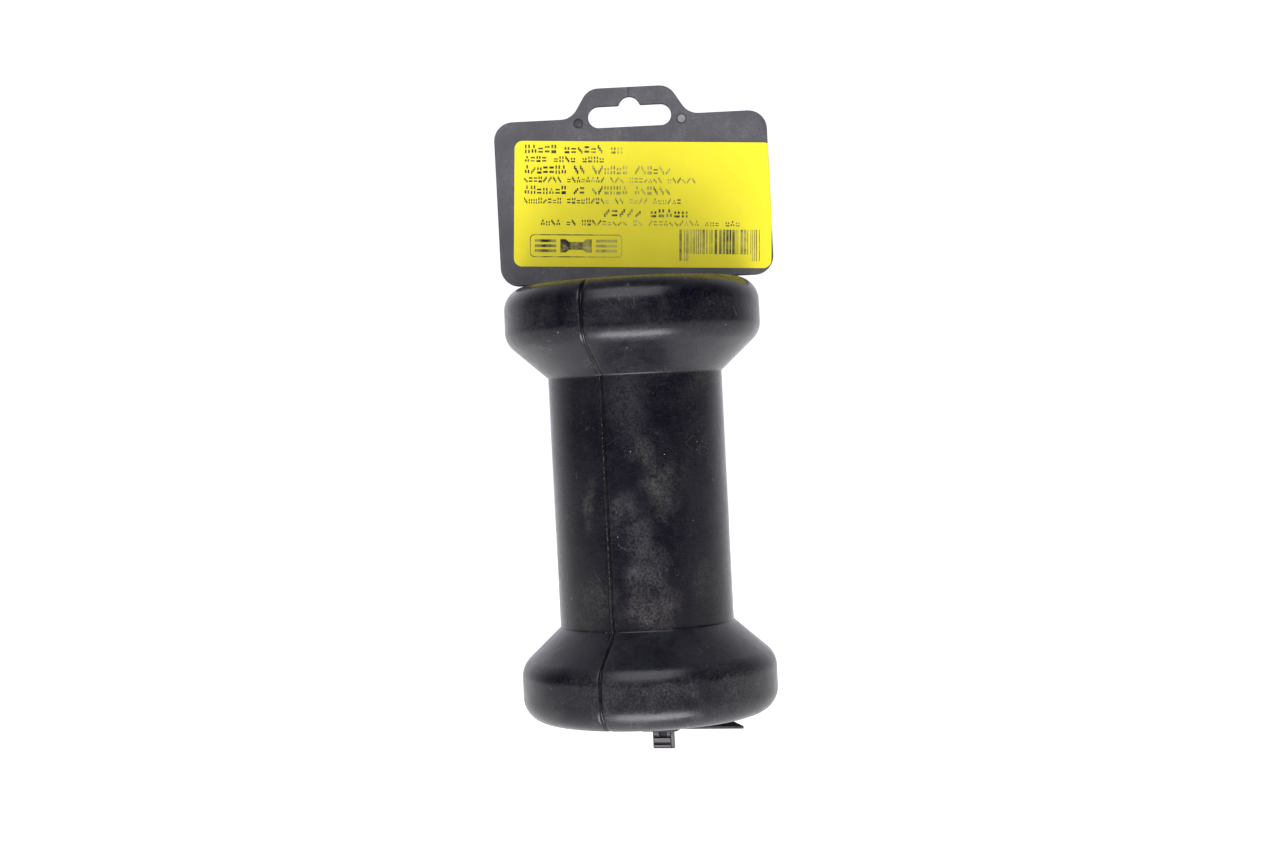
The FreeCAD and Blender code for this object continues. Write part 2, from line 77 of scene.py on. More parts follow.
# label, the same sheet as the CAD solid
LABEL_X_MM = 2.6
LABEL_Z_MM = -31.7
LABEL_WIDTH_MM = 75.3
LABEL_HEIGHT_MM = 36.7
LABEL_CORNER_MM = 2.4
LABEL_TILT = math.radians(3.3)
LABEL_THICKNESS_MM = 0.1
CARD_FRONT_Y_MM = -1.0
CARD_HALF_WIDTH_MM = 39.95
CARD_EDGE_RADIUS_MM = 0.35
FOLD_SHARE = 0.8

# edges flatter than this are shaded smooth
SMOOTH_ANGLE = math.radians(40)
PAPER_SMOOTH_ANGLE = math.radians(25)


# ---------------------------------------------------------------- mesh helpers

def smooth_step(low, high, value):
    """0 below low, 1 above high, with a soft start and end."""
    share = min(max((value - low) / (high - low), 0.0), 1.0)
    return share * share * (3.0 - 2.0 * share)


def add_mesh(name, points_mm, faces, smooth_angle=SMOOTH_ANGLE):
    """Object at the origin from points in millimetres, smooth-shaded up to an angle."""
    mesh = bpy.data.meshes.new(name)
    mesh.from_pydata([(x * MM, y * MM, z * MM) for x, y, z in points_mm], [], faces)
    mesh.update()
    mesh.shade_smooth()
    mesh.set_sharp_from_angle(angle=smooth_angle)
    obj = bpy.data.objects.new(name, mesh)
    bpy.context.scene.collection.objects.link(obj)
    return obj


def set_attribute(obj, name, values):
    """Store one number at each vertex for the materials to read."""
    attribute = obj.data.attributes.new(name, "FLOAT", "POINT")
    attribute.data.foreach_set("value", values)


# ---------------------------------------------------------------- rubber roller

def line(start, end, step):
    """Points from start up to, but without, end."""
    length = math.dist(start, end)
    count = max(1, round(length / step))
    return [tuple(a + (b - a) * i / count for a, b in zip(start, end)) for i in range(count)]


def arc(centre, radius, first, last, step):
    """Points along an arc from angle first to angle last, without the last one."""
    count = max(4, round(abs(last - first) * radius / step))
    angles = [first + (last - first) * i / count for i in range(count)]
    return [(centre[0] + radius * math.cos(a), centre[1] + radius * math.sin(a)) for a in angles]


def half_section():
    """(radius, height) points of the upper half, from the waist's middle to the bore's middle."""
    rise = CONE_HALF_MM - BARREL_HALF_MM
    slope = math.atan2(FLANGE_RADIUS_MM - BARREL_RADIUS_MM, rise)
    # concave fillet where waist and cone meet
    foot_tangent = FOOT_FILLET_MM * math.tan(slope / 2)
    foot_centre = (BARREL_RADIUS_MM + FOOT_FILLET_MM, BARREL_HALF_MM - foot_tangent)
    foot_end = math.pi - slope
    cone_start = (foot_centre[0] + FOOT_FILLET_MM * math.cos(foot_end),
                  foot_centre[1] + FOOT_FILLET_MM * math.sin(foot_end))
    # convex fillets of the rim
    rim_tangent = RIM_FILLET_MM * math.tan(slope / 2)
    rim_centre_radius = FLANGE_RADIUS_MM - RIM_FILLET_MM
    lower_centre = (rim_centre_radius, CONE_HALF_MM + rim_tangent)
    upper_centre = (rim_centre_radius, HALF_LENGTH_MM - RIM_FILLET_MM)
    cone_end = (lower_centre[0] + RIM_FILLET_MM * math.cos(-slope),
                lower_centre[1] + RIM_FILLET_MM * math.sin(-slope))
    bore_rim = (BORE_RADIUS_MM + BORE_CHAMFER_MM, HALF_LENGTH_MM)
    bore_edge = (BORE_RADIUS_MM, HALF_LENGTH_MM - BORE_CHAMFER_MM)
    points = line((BARREL_RADIUS_MM, 0.0), (BARREL_RADIUS_MM, foot_centre[1]), 0.6)
    points += arc(foot_centre, FOOT_FILLET_MM, math.pi, foot_end, 0.15)
    points += line(cone_start, cone_end, 0.6)
    points += arc(lower_centre, RIM_FILLET_MM, -slope, 0.0, 0.45)
    points += line((FLANGE_RADIUS_MM, lower_centre[1]), (FLANGE_RADIUS_MM, upper_centre[1]), 0.5)
    points += arc(upper_centre, RIM_FILLET_MM, 0.0, math.pi / 2, 0.45)
    points += line((rim_centre_radius, HALF_LENGTH_MM), bore_rim, 1.2)
    points += line(bore_rim, bore_edge, 0.3)
    points += line(bore_edge, (BORE_RADIUS_MM, 0.0), 2.5)
    return points


def closed_section():
    """Whole section as one loop, its lower half a mirror of the upper one."""
    upper = half_section()
    bore_middle = (BORE_RADIUS_MM, 0.0)
    lower = [(radius, -height) for radius, height in reversed(upper[1:])]
    return upper + [bore_middle] + lower


def column_angles():
    """Azimuths of the mesh columns, close together at the two parting lines."""
    fine = 44
    coarse = 88
    span = math.pi - 2.0 * SEAM_HALF_WIDTH
    angles = []
    for side in (0, 1):
        middle = SEAM_AZIMUTH + math.pi * side
        angles += [middle + SEAM_HALF_WIDTH * (2.0 * i / fine - 1.0) for i in range(fine)]
        first = middle + SEAM_HALF_WIDTH
        angles += [first + span * i / coarse for i in range(coarse)]
    return angles


def dent(offset, middle, half_width):
    """Smooth bell, 1 at its middle."""
    return math.exp(-((offset - middle) / half_width) ** 2)


def seam_shape(across_mm, height, radius, side):
    """(displacement in mm, seam value) beside a parting line.

    The value is below 0 in the grooves and above 0 on the flash between them.
    """
    def drift(shift, lane, frequency):
        """Noise along the line, another one for each side."""
        return noise.noise(Vector((side * shift, lane, height * frequency)))

    offset = across_mm - (0.30 * drift(9.0, 0.0, 0.09) + 0.12 * drift(9.0, 5.0, 0.7))
    patchy = 0.95 + 0.35 * drift(7.0, 2.0, 0.5)
    beads = min(max(0.55 + 1.3 * drift(7.0, 8.0, 1.7), 0.0), 1.2)
    on_rim = smooth_step(BARREL_RADIUS_MM + 0.3, BARREL_RADIUS_MM + 4.0, radius)
    near_end = smooth_step(56.0, 60.0, abs(height))

    groove_width = 0.36 + 0.08 * on_rim + 0.10 * near_end
    groove_depth = 0.30 + 0.12 * on_rim + 0.2 * near_end
    second_width = 0.28
    second_depth = 0.18
    flash_width = 0.20
    flash_height = 0.16
    groove = (patchy + 0.5 * on_rim) * dent(offset, GROOVE_OFFSET_MM, groove_width)
    second = (1.0 - on_rim) * patchy * 0.7
    second *= dent(offset, SECOND_GROOVE_OFFSET_MM, second_width)
    flash = (1.0 - 0.9 * on_rim) * beads * dent(offset, FLASH_OFFSET_MM, flash_width)
    push = flash_height * flash - groove_depth * groove - second_depth * second
    return push, flash - max(groove, second)


def rubber_surface(section_point, azimuth, turn, side):
    """(push off the section in mm, seam value) of one point; turn is its angle off the seam."""
    radius, height = section_point
    outside = smooth_step(BORE_RADIUS_MM + STILL_RING_MM, BARREL_RADIUS_MM, radius)
    place = Vector((math.sin(azimuth) * radius, -math.cos(azimuth) * radius, height))
    wave = noise.noise(place * WAVES_PER_MM)
    wave += RIPPLE_SHARE * noise.noise(place * RIPPLES_PER_MM)
    push = outside * (WAVE_DEPTH_MM * wave - WAVE_INSET_MM)
    value = 0.0
    if outside > 0.0 and abs(turn) < SEAM_HALF_WIDTH:
        bump, value = seam_shape(turn * radius, height, radius, side)
        push += bump * outside
        value *= outside
    if radius > FLANGE_RADIUS_MM - 1.0:
        push = min(push, 0.0)
    return push, value


def make_roller():
    """Revolved rubber body with parting lines and the slight waviness of a moulding."""
    section = closed_section()
    angles = column_angles()
    rows = len(section)
    columns = len(angles)
    points = []
    seam = []
    for azimuth in angles:
        side = 0 if abs(azimuth - SEAM_AZIMUTH) < math.pi / 2 else 1
        turn = azimuth - SEAM_AZIMUTH - math.pi * side
        for radius, height in section:
            push, value = rubber_surface((radius, height), azimuth, turn, side)
            points.append((AXIS_X_MM + math.sin(azimuth) * (radius + push),
                           -math.cos(azimuth) * (radius + push),
                           CENTRE_Z_MM + height))
            seam.append(value)
    faces = []
    for i in range(columns):
        after = (i + 1) % columns
        for k in range(rows):
            above = (k + 1) % rows
            faces.append((i * rows + k, after * rows + k, after * rows + above, i * rows + above))
    roller = add_mesh("roller_rubber", points, faces)
    set_attribute(roller, "seam", seam)
    return roller


# ---------------------------------------------------------------- label and its print

def on_label(across, upward, lift):
    """Row-frame point in mm of a spot on the label, lifted off the card's face.

    The sheet follows the card's rounded edge where it reaches past the flat face.
    """
    x = LABEL_X_MM + across * math.cos(LABEL_TILT) + upward * math.sin(LABEL_TILT)
    z = LABEL_Z_MM - across * math.sin(LABEL_TILT) + upward * math.cos(LABEL_TILT)
    flat_end = CARD_HALF_WIDTH_MM - CARD_EDGE_RADIUS_MM
    if x <= flat_end:
        return (x, CARD_FRONT_Y_MM - lift, z)
    radius = CARD_EDGE_RADIUS_MM + lift * FOLD_SHARE
    past = x - flat_end
    bend = CARD_EDGE_RADIUS_MM * math.pi / 2
    turn = min(past / CARD_EDGE_RADIUS_MM, math.pi / 2)
    y = CARD_FRONT_Y_MM + CARD_EDGE_RADIUS_MM - radius * math.cos(turn) + max(past - bend, 0.0)
    return (flat_end + radius * math.sin(turn), y, z)


def label_columns():
    """(place across, half height there) of the label's mesh columns, from left to right."""
    half_width = LABEL_WIDTH_MM / 2
    half_height = LABEL_HEIGHT_MM / 2
    wide_step = 1.5
    corner_steps = 14
    fold_reach = 4.4
    fold_step = 0.1
    places = [-half_width + i * wide_step for i in range(int(LABEL_WIDTH_MM / wide_step))]
    places += [-half_width + LABEL_CORNER_MM * (i / corner_steps) ** 2
               for i in range(corner_steps + 1)]
    places += [half_width - fold_reach + i * fold_step
               for i in range(round(fold_reach / fold_step) + 1)]
    columns = []
    for across in sorted(places):
        inset = max(0.0, abs(across) - (half_width - LABEL_CORNER_MM))
        drop = LABEL_CORNER_MM - math.sqrt(max(0.0, LABEL_CORNER_MM ** 2 - inset ** 2))
        columns.append((across, half_height - drop))
    return columns


def make_label():
    """Thin sheet with rounded corners, wrapped onto the card's right-hand edge."""
    columns = label_columns()
    rows = 24
    points = []
    for lift in (LABEL_THICKNESS_MM, 0.0):
        for across, reach in columns:
            for k in range(rows + 1):
                points.append(on_label(across, reach * (2.0 * k / rows - 1.0), lift))
    count = len(columns)
    # points of the back layer follow those of the front one
    back = count * (rows + 1)
    faces = []
    for i in range(count - 1):
        for k in range(rows):
            a = i * (rows + 1) + k
            b = (i + 1) * (rows + 1) + k
            faces.append((a, b, b + 1, a + 1))
            faces.append((back + a, back + a + 1, back + b + 1, back + b))
    for i in range(count - 1):
        low_a = i * (rows + 1)
        low_b = (i + 1) * (rows + 1)
        top_a = low_a + rows
        top_b = low_b + rows
        faces.append((low_a, back + low_a, back + low_b, low_b))
        faces.append((top_a, top_b, back + top_b, back + top_a))
    last = (count - 1) * (rows + 1)
    for k in range(rows):
        faces.append((k, k + 1, back + k + 1, back + k))
        faces.append((last + k, back + last + k, back + last + k + 1, last + k + 1))
    return add_mesh("label_sheet", points, faces, PAPER_SMOOTH_ANGLE)


class Print:
    """Thin raised ink marks, gathered into one mesh."""

    BELOW_MM = 0.01
    HEIGHT_MM = 0.02

    def __init__(self):
        self.points = []
        self.faces = []

    def plate(self, outline):
        """One closed flat mark; its outline runs counter-clockwise, in label millimetres."""
        first = len(self.points)
        count = len(outline)
        for lift in (LABEL_THICKNESS_MM + self.HEIGHT_MM, LABEL_THICKNESS_MM - self.BELOW_MM):
            self.points += [on_label(across, upward, lift) for across, upward in outline]
        self.faces.append(tuple(first + i for i in range(count)))
        self.faces.append(tuple(first + count + i for i in reversed(range(count))))
        for i in range(count):
            after = (i + 1) % count
            self.faces.append((first + i, first + count + i, first + count + after, first + after))

    def bar(self, left, bottom, width, height):
        """Upright rectangle."""
        self.plate([(left, bottom), (left + width, bottom),
                    (left + width, bottom + height), (left, bottom + height)])

    def ring(self, left, bottom, width, height, corner, stroke):
        """Rounded outline, made of short closed strokes."""
        outer = rounded_corners(left, bottom, width, height, corner)
        inner = rounded_corners(left + stroke, bottom + stroke, width - 2 * stroke,
                                height - 2 * stroke, corner - stroke)
        count = len(outer)
        for i in range(count):
            after = (i + 1) % count
            self.plate([outer[i], outer[after], inner[after], inner[i]])


def rounded_corners(left, bottom, width, height, corner):
    """Counter-clockwise outline of a rounded rectangle."""
    sides = 6
    centres = [(left + width - corner, bottom + corner, -90),
               (left + width - corner, bottom + height - corner, 0),
               (left + corner, bottom + height - corner, 90),
               (left + corner, bottom + corner, 180)]
    outline = []
    for x, y, first in centres:
        for i in range(sides + 1):
            angle = math.radians(first + 90.0 * i / sides)
            outline.append((x + corner * math.cos(angle), y + corner * math.sin(angle)))
    return outline


# filler marks in place of lettering: the bars of each, as shares of the mark's box
# (left, bottom, width, height)
MARK_SHAPES = (
    # two slats
    ((0.0, 0.10, 1.0, 0.24), (0.0, 0.62, 1.0, 0.24)),
    # four posts
    ((0.0, 0.0, 0.32, 0.40), (0.0, 0.57, 0.32, 0.43),
     (0.68, 0.0, 0.32, 0.40), (0.68, 0.57, 0.32, 0.43)),
    # steps going up
    ((0.0, 0.0, 0.34, 0.44), (0.33, 0.28, 0.34, 0.44), (0.66, 0.56, 0.34, 0.44)),
    # steps going down
    ((0.0, 0.56, 0.34, 0.44), (0.33, 0.28, 0.34, 0.44), (0.66, 0.0, 0.34, 0.44)),
    # slab with two squares above it
    ((0.0, 0.0, 1.0, 0.36), (0.0, 0.58, 0.36, 0.42), (0.64, 0.58, 0.36, 0.42)),
    # one square above two
    ((0.32, 0.60, 0.36, 0.40), (0.0, 0.06, 0.36, 0.40), (0.64, 0.06, 0.36, 0.40)),
)
PRINT_SEED = 7
MARK_WIDTH_SHARE = 0.72
MARK_HEIGHT_SHARES = (0.74, 1.0, 1.0)

# rows of filler marks: start, baseline, height and pitch in label millimetres,
# then the number of marks in each word
PRINT_ROWS = (
    (-34.6, 14.75, 2.5, 1.93, (5, 6, 2)),
    (-34.6, 12.15, 1.75, 1.68, (4, 4, 4)),
    (-34.6, 8.75, 2.5, 1.79, (7, 2, 6, 6)),
    (-34.8, 6.2, 1.75, 1.40, (8, 8, 3, 7, 6)),
    (-34.6, 2.8, 2.5, 1.79, (7, 2, 6, 6)),
    (-34.8, 0.05, 1.75, 1.40, (8, 9, 2, 4, 6)),
    (-11.4, -3.75, 2.4, 2.28, (5, 5)),
    (-29.8, -6.3, 1.7, 1.50, (4, 2, 9, 2, 10, 3, 3)),
)


def print_line(ink, rng, start, baseline, height, pitch, words):
    """A row of filler marks, with a gap of one mark after each word."""
    across = start
    width = pitch * MARK_WIDTH_SHARE
    for count in words:
        for _ in range(count):
            tall = height * rng.choice(MARK_HEIGHT_SHARES)
            for left, bottom, share_wide, share_tall in rng.choice(MARK_SHAPES):
                ink.bar(across + left * width, baseline + bottom * tall,
                        share_wide * width, share_tall * tall)
            across += pitch
        across += pitch


def print_pictogram(ink):
    """Plain emblem: a spool roller seen from the side between two sets of stripes."""
    left, bottom, width, height = -33.0, -15.6, 27.0, 6.7
    frame_corner = 1.3
    frame_stroke = 0.28
    ink.ring(left, bottom, width, height, frame_corner, frame_stroke)
    middle_x = left + width / 2
    middle_y = bottom + height / 2

    # the spool, as a left part with the waist and a right part
    end, shoulder, waist = 4.6, 3.0, 2.0
    flange, barrel = 1.95, 1.15
    with_waist = [(-end, -flange), (-shoulder, -flange), (-waist, -barrel), (waist, -barrel),
                  (waist, barrel), (-waist, barrel), (-shoulder, flange), (-end, flange)]
    right_end = [(waist, -barrel), (shoulder, -flange), (end, -flange),
                 (end, flange), (shoulder, flange), (waist, barrel)]
    for outline in (with_waist, right_end):
        ink.plate([(middle_x + x, middle_y + y) for x, y in outline])

    stripe_length = 6.3
    stripe_height = 0.84
    stripe_pitch = 1.45
    stripe_offset = 8.9
    for side in (-1, 1):
        for row in (-1, 0, 1):
            ink.bar(middle_x + side * stripe_offset - stripe_length / 2,
                    middle_y + row * stripe_pitch - stripe_height / 2,
                    stripe_length, stripe_height)


def print_stripes(ink, rng):
    """Block of upright stripes with longer ones at both ends, in place of a code."""
    left, right = 10.7, 34.2
    bottom, top = -14.4, -7.2
    longer_up_to = left + 2.3
    longer_from = right - 2.6
    extra_length = 2.0
    widths = (0.26, 0.26, 0.36, 0.52, 0.72)
    gaps = (0.24, 0.3, 0.42, 0.62)
    across = left
    while across < right:
        near_end = across < longer_up_to or across > longer_from
        width = rng.choice(widths)
        drop = extra_length if near_end else 0.0
        ink.bar(across, bottom - drop, min(width, right - across), top - bottom + drop)
        across += width + rng.choice(gaps)


def make_print():
    """Every printed mark on the label."""
    rng = random.Random(PRINT_SEED)
    ink = Print()
    for start, baseline, height, pitch, words in PRINT_ROWS:
        print_line(ink, rng, start, baseline, height, pitch, words)
    print_pictogram(ink)
    print_stripes(ink, rng)
    return add_mesh("label_print", ink.points, ink.faces, PAPER_SMOOTH_ANGLE)


# ---------------------------------------------------------------- material helpers

class Graph:
    """Short way to add and join the nodes of one material."""

    def __init__(self, name):
        self.material = bpy.data.materials.new(name)
        self.material.use_nodes = True
        self.tree = self.material.node_tree
        self.shader = self.tree.nodes["Principled BSDF"]
        self.place = self.add("ShaderNodeTexCoord").outputs["Object"]

    def add(self, kind, **settings):
        """A node with its plain settings."""
        node = self.tree.nodes.new(kind)
        for key, value in settings.items():
            setattr(node, key, value)
        return node

    def feed(self, socket, value):
        """Link a socket's source, or set its number."""
        if isinstance(value, bpy.types.NodeSocket):
            self.tree.links.new(value, socket)
        else:
            socket.default_value = value

    def maths(self, operation, first, second=0.0):
        """One arithmetic step."""
        node = self.add("ShaderNodeMath", operation=operation)
        self.feed(node.inputs[0], first)
        self.feed(node.inputs[1], second)
        return node.outputs[0]

    def product(self, first, *others):
        """Several values multiplied together."""
        for other in others:
            first = self.maths("MULTIPLY", first, other)
        return first

    def scaled(self, scale, location=(0.0, 0.0, 0.0), place=None):
        """Coordinates stretched by scale after a shift, in metres."""
        node = self.add("ShaderNodeMapping", vector_type="POINT")
        self.feed(node.inputs["Vector"], place or self.place)
        node.inputs["Location"].default_value = [-s * p for s, p in zip(scale, location)]
        node.inputs["Scale"].default_value = scale
        return node.outputs["Vector"]

    def noise(self, scale, detail, roughness=0.55, place=None, distortion=0.0):
        """Cloudy value about 0.5; scale is features per metre."""
        node = self.add("ShaderNodeTexNoise")
        self.feed(node.inputs["Vector"], place or self.place)
        node.inputs["Scale"].default_value = scale
        node.inputs["Detail"].default_value = detail
        node.inputs["Roughness"].default_value = roughness
        node.inputs["Distortion"].default_value = distortion
        return node.outputs["Fac"]

    def soft_range(self, value, low, high, to_low=0.0, to_high=1.0):
        """Smooth step between two values."""
        node = self.add("ShaderNodeMapRange", interpolation_type="SMOOTHSTEP")
        self.feed(node.inputs["Value"], value)
        node.inputs["From Min"].default_value = low
        node.inputs["From Max"].default_value = high
        node.inputs["To Min"].default_value = to_low
        node.inputs["To Max"].default_value = to_high
        return node.outputs["Result"]

    def blend(self, share, first, second):
        """Colour between two others."""
        node = self.add("ShaderNodeMix", data_type="RGBA")
        self.feed(node.inputs["Factor"], share)
        self.feed(node.inputs["A"], first)
        self.feed(node.inputs["B"], second)
        return node.outputs["Result"]

    def bump(self, height, depth_mm, strength, normal=None):
        """Surface relief of that depth."""
        node = self.add("ShaderNodeBump")
        node.inputs["Strength"].default_value = strength
        node.inputs["Distance"].default_value = depth_mm * MM
        self.feed(node.inputs["Height"], height)
        if normal is not None:
            self.feed(node.inputs["Normal"], normal)
        return node.outputs["Normal"]

    def axis(self, name):
        """One object coordinate."""
        node = self.add("ShaderNodeSeparateXYZ")
        self.feed(node.inputs[0], self.place)
        return node.outputs[name]

    def facing_z(self):
        """How far the surface faces up (1) or down (-1)."""
        node = self.add("ShaderNodeSeparateXYZ")
        self.feed(node.inputs[0], self.add("ShaderNodeNewGeometry").outputs["Normal"])
        return node.outputs["Z"]

    def turned(self, angle, scale):
        """Coordinates turned about the Y axis and then stretched by scale."""
        node = self.add("ShaderNodeMapping", vector_type="TEXTURE")
        self.feed(node.inputs["Vector"], self.place)
        node.inputs["Rotation"].default_value = (0.0, angle, 0.0)
        node.inputs["Scale"].default_value = [1.0 / s for s in scale]
        return node.outputs["Vector"]

    def warped(self, scale, reach):
        """Coordinates pushed about by a noise, by up to half of reach in metres."""
        clouds = self.add("ShaderNodeTexNoise")
        self.feed(clouds.inputs["Vector"], self.place)
        clouds.inputs["Scale"].default_value = scale
        clouds.inputs["Detail"].default_value = 5.0
        push = self.add("ShaderNodeVectorMath", operation="MULTIPLY_ADD")
        self.feed(push.inputs[0], clouds.outputs["Color"])
        push.inputs[1].default_value = (reach, reach, reach)
        push.inputs[2].default_value = (-reach / 2, -reach / 2, -reach / 2)
        total = self.add("ShaderNodeVectorMath", operation="ADD")
        self.feed(total.inputs[0], self.place)
        self.feed(total.inputs[1], push.outputs["Vector"])
        return total.outputs["Vector"]

    def patch(self, centre_mm, size_mm, place=None, inner=0.25):
        """Soft round mask, 1 in the inner share of a spot and 0 outside it."""
        scale = [1.0 / (s * MM) for s in size_mm]
        spot = self.scaled(scale, [c * MM for c in centre_mm], place)
        length = self.add("ShaderNodeVectorMath", operation="LENGTH")
        self.feed(length.inputs[0], spot)
        return self.soft_range(length.outputs["Value"], 1.0, inner)

    def specks(self, scale, size, share):
        """Sparse tiny dots; share is the part of the cells that has one."""
        node = self.add("ShaderNodeTexVoronoi", feature="F1")
        self.feed(node.inputs["Vector"], self.place)
        node.inputs["Scale"].default_value = scale
        near = self.soft_range(node.outputs["Distance"], size, size * 0.6)
        pick = self.add("ShaderNodeSeparateColor")
        self.feed(pick.inputs[0], node.outputs["Color"])
        chosen = self.maths("LESS_THAN", pick.outputs[0], share)
        return self.product(near, chosen)

    def attribute(self, name):
        """A number stored on the mesh."""
        node = self.add("ShaderNodeAttribute", attribute_name=name)
        return node.outputs["Fac"]


def assign(obj, material):
    """Give a whole piece one material."""
    obj.data.materials.clear()
    obj.data.materials.append(material)


# ---------------------------------------------------------------- rubber's material

RUBBER_DARK = (0.0010, 0.0008, 0.0038, 1.0)
RUBBER_GREY = (0.0034, 0.0030, 0.0068, 1.0)
DUST_OLIVE = (0.042, 0.041, 0.034, 1.0)
DUST_PINK = (0.055, 0.048, 0.046, 1.0)
DUST_GREY = (0.038, 0.038, 0.041, 1.0)
DUST_FILM = (0.041, 0.040, 0.039, 1.0)
DUST_SETTLED = (0.026, 0.026, 0.034, 1.0)
SPECK = (0.36, 0.35, 0.34, 1.0)
SCRATCH = (0.10, 0.10, 0.085, 1.0)
# painted shade for the parting lines' grooves
SEAM_GROOVE_SHADE = (0.0012, 0.0012, 0.0018, 1.0)
SEAM_FLASH = (0.060, 0.060, 0.063, 1.0)
RUBBER_SPECULAR = 0.30

# finger marks on the waist: azimuth in degrees, height in mm from the roller's middle,
# half width, half height, strength and dust colour
WAIST_MARKS = [
    (12, 6, 9.5, 10.0, 0.75, DUST_OLIVE),
    (-1, 14, 5.0, 5.0, 0.50, DUST_OLIVE),
    (-15, -3, 6.0, 6.0, 0.60, DUST_GREY),
    (-5, -8, 7.5, 7.5, 0.55, DUST_GREY),
    (7, -14, 7.0, 6.5, 0.55, DUST_GREY),
    (2, -21, 9.0, 5.5, 0.75, DUST_GREY),
    (3, -30, 12.0, 11.0, 0.72, DUST_PINK),
    (-37, -2, 3.2, 10.0, 0.70, DUST_OLIVE),
    (-8, 26, 8.0, 18.0, 0.28, DUST_GREY),
    (42, 32, 6.0, 7.0, 0.35, DUST_OLIVE),
    (43, -22, 7.0, 9.0, 0.40, DUST_OLIVE),
    (-38, -28, 10.0, 14.0, 0.50, DUST_OLIVE),
    (140, 12, 10.0, 11.0, 0.65, DUST_OLIVE),
    (205, -14, 8.0, 13.0, 0.60, DUST_GREY),
    (252, 18, 8.0, 9.0, 0.55, DUST_PINK),
    (95, -20, 9.0, 10.0, 0.55, DUST_GREY),
]


def waist_marks(g, colour, speckle, ragged):
    """(colour with the finger marks on the waist, how dusty they are)."""
    wiped = g.noise(260.0, 5.0, 0.65, g.turned(math.radians(-38), (1.0, 1.0, 0.35)))
    filling = g.product(g.soft_range(wiped, 0.30, 0.62, 0.55, 1.0),
                        g.soft_range(speckle, 0.40, 0.58, 0.20, 1.0),
                        g.soft_range(ragged, 0.36, 0.58, 0.28, 1.0))
    # a slow noise pushes the marks' outlines about
    smeared = g.warped(65.0, 0.016)
    dusty = 0.0
    for azimuth, height, half_width, half_height, strength, tint in WAIST_MARKS:
        angle = math.radians(azimuth)
        spot = (AXIS_X_MM + BARREL_RADIUS_MM * math.sin(angle),
                -BARREL_RADIUS_MM * math.cos(angle),
                CENTRE_Z_MM + height)
        mask = g.patch(spot, (half_width, half_width, half_height), smeared)
        mask = g.product(mask, filling, strength)
        colour = g.blend(mask, colour, tint)
        dusty = g.maths("MAXIMUM", dusty, mask)
    return colour, dusty


def flange_film(g, speckle):
    """Share of the thin dust on the flanges, which is thicker on the lower one."""
    height = g.axis("Z")
    away = g.maths("ABSOLUTE", g.maths("SUBTRACT", height, CENTRE_Z_MM * MM))
    on_ends = g.soft_range(away, 0.034, 0.040)
    clouds = g.noise(50.0, 6.0, 0.68, distortion=0.5)
    return g.product(g.soft_range(clouds, 0.42, 0.66),
                     g.soft_range(speckle, 0.44, 0.60, 0.30),
                     g.soft_range(on_ends, 0.0, 1.0, 0.12, 0.32),
                     g.soft_range(height, -0.150, -0.168, 1.0, 1.6))


def hairline_scratches(g):
    """Share of a few thin scratches, where two slow noises both allow them."""
    wander = g.noise(130.0, 1.0, 0.4, distortion=2.2)
    ridge = g.maths("ABSOLUTE", g.maths("SUBTRACT", wander, 0.5))
    allowed = g.soft_range(g.noise(85.0, 2.0, 0.5), 0.60, 0.66)
    return g.product(g.soft_range(ridge, 0.006, 0.001), allowed, 0.55)


def rubber_relief(g, fine, streaks, specks):
    """Grit, pores, streaks, flat scuffs and specks, one bump on the other."""
    grit = g.noise(1700.0, 3.0, 0.7)
    scuffed = g.noise(230.0, 2.0, 0.5, g.scaled((1.0, 1.0, 5.0)), 1.5)
    relief = g.bump(grit, 0.02, 0.4)
    relief = g.bump(fine, 0.10, 0.22, relief)
    relief = g.bump(streaks, 0.05, 0.3, relief)
    relief = g.bump(g.soft_range(scuffed, 0.60, 0.75), 0.03, 0.4, relief)
    return g.bump(specks, 0.06, 0.6, relief)


